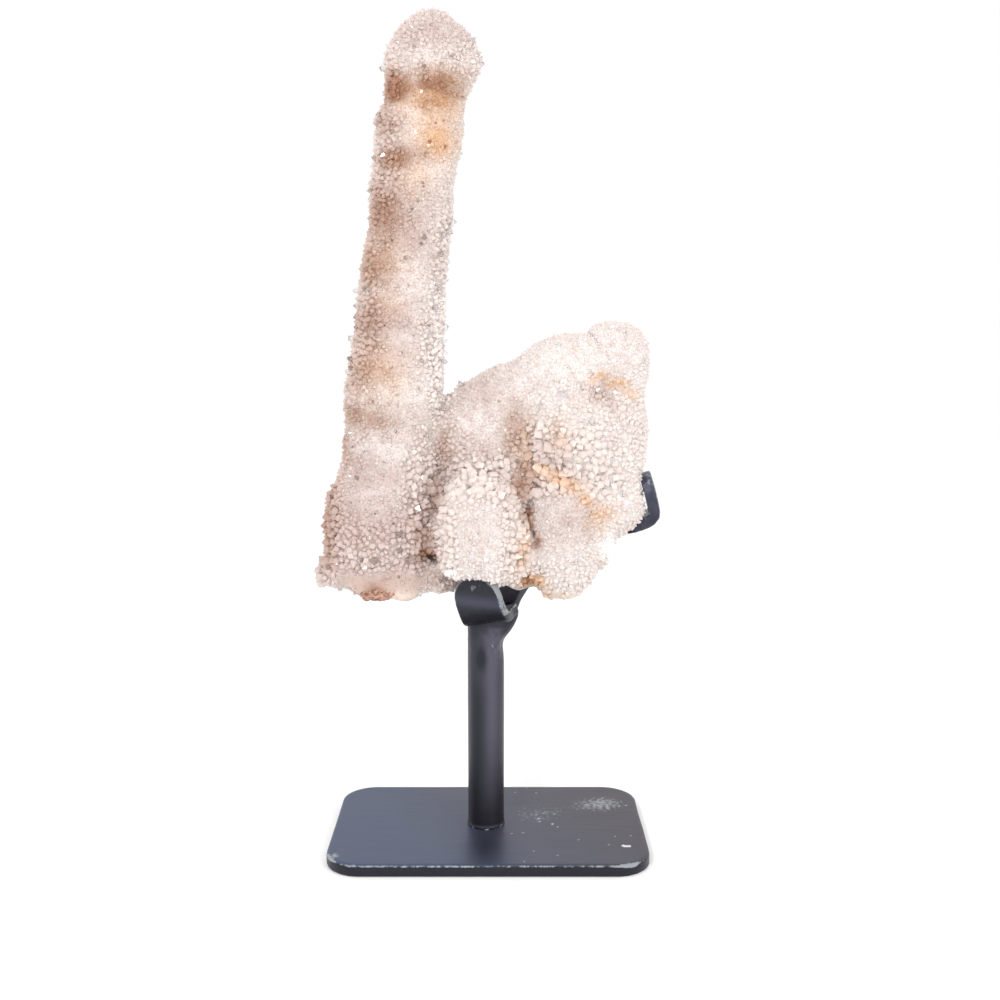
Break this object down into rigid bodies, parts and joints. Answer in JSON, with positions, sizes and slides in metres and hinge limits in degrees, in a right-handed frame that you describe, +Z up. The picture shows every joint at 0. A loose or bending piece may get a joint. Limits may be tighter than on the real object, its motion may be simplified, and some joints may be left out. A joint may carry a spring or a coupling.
{
  "type": "drusy quartz stalagmite on an iron stand",
  "caption": "Slim crystal-furred quartz stalagmite beside a knobbly quartz block, held by the claw and side arm of a small black forged iron stand.",
  "frame": {"origin": "centre of the base plate's underside, on the surface that the stand rests on", "axes": "+Z up along the post, -Y towards the stone's broad front, -X to the side where the tall column stands"},
  "size_m": [0.0903, 0.051, 0.2103],
  "materials": {
    "drusy_quartz": "milky pinkish-white quartz furred with sparkling clear points, brown in its clefts",
    "painted_iron": "satin black paint on hand-cut and hammered iron, scuffed on the plate"
  },
  "bodies": {
    "root": {"base_plate": "painted_iron", "post": "painted_iron", "front_claw": "painted_iron", "side_arm": "painted_iron", "stalagmite": "drusy_quartz"}
  },
  "joints": []
}
